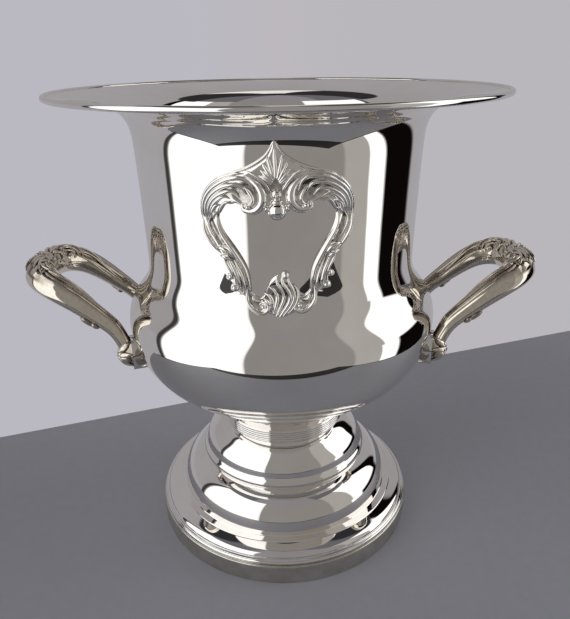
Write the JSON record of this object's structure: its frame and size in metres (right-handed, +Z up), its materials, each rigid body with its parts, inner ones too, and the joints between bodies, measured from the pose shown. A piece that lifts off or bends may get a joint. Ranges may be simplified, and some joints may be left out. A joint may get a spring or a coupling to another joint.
{
  "type": "champagne bucket",
  "caption": "Urn-shaped silver plated champagne bucket with a wide flat brim, cast loop handles, a scrolled shield frame on the front and a stepped pedestal foot.",
  "frame": {"origin": "middle of the foot's flat resting ring, on the surface the bucket stands on", "axes": "+Z up along the bucket's axis, X through the two handles, the shield frame on the -Y side"},
  "size_m": [0.2844, 0.2272, 0.254],
  "materials": {
    "polished_silver_plate": "silver plated brass, spun and mirror polished, with faint hairlines and a slightly warm tone",
    "satin_silver_plate": "silver plated band, worn to a soft satin by handling",
    "relief_silver_plate": "stamped relief, silver plated, bright on the raised scrolls and grey in the hollows",
    "patinated_silver_plate": "cast and silver plated, bright on the smooth grips, with golden brown tarnish in the flutes and leaves",
    "plated_fixings": "small turned fixings, silver plated",
    "zinc_steel": "zinc plated steel fixings inside the foot",
    "raw_brass": "unplated brass inside the foot, dull",
    "steel_wire": "plain steel wire, closed inside the rolled edges"
  },
  "bodies": {
    "root": {"bucket_body": "polished_silver_plate", "brim_wire": "steel_wire", "bowl_ring": "polished_silver_plate", "bowl_boss": "raw_brass", "neck": "polished_silver_plate", "neck_reeds": "polished_silver_plate", "foot_bell": "polished_silver_plate", "foot_dome": "polished_silver_plate", "foot_reeds": "polished_silver_plate", "base_band": "satin_silver_plate", "base_wire": "steel_wire", "foot_bridge": "raw_brass", "foot_washer": "zinc_steel", "foot_stud": "zinc_steel", "foot_nut": "zinc_steel", "handle_left": "patinated_silver_plate", "handle_right": "patinated_silver_plate", "handle_pads": "patinated_silver_plate", "handle_studs": "plated_fixings", "handle_washers": "plated_fixings", "handle_nuts": "plated_fixings", "cartouche_frame": "relief_silver_plate"}
  },
  "joints": []
}
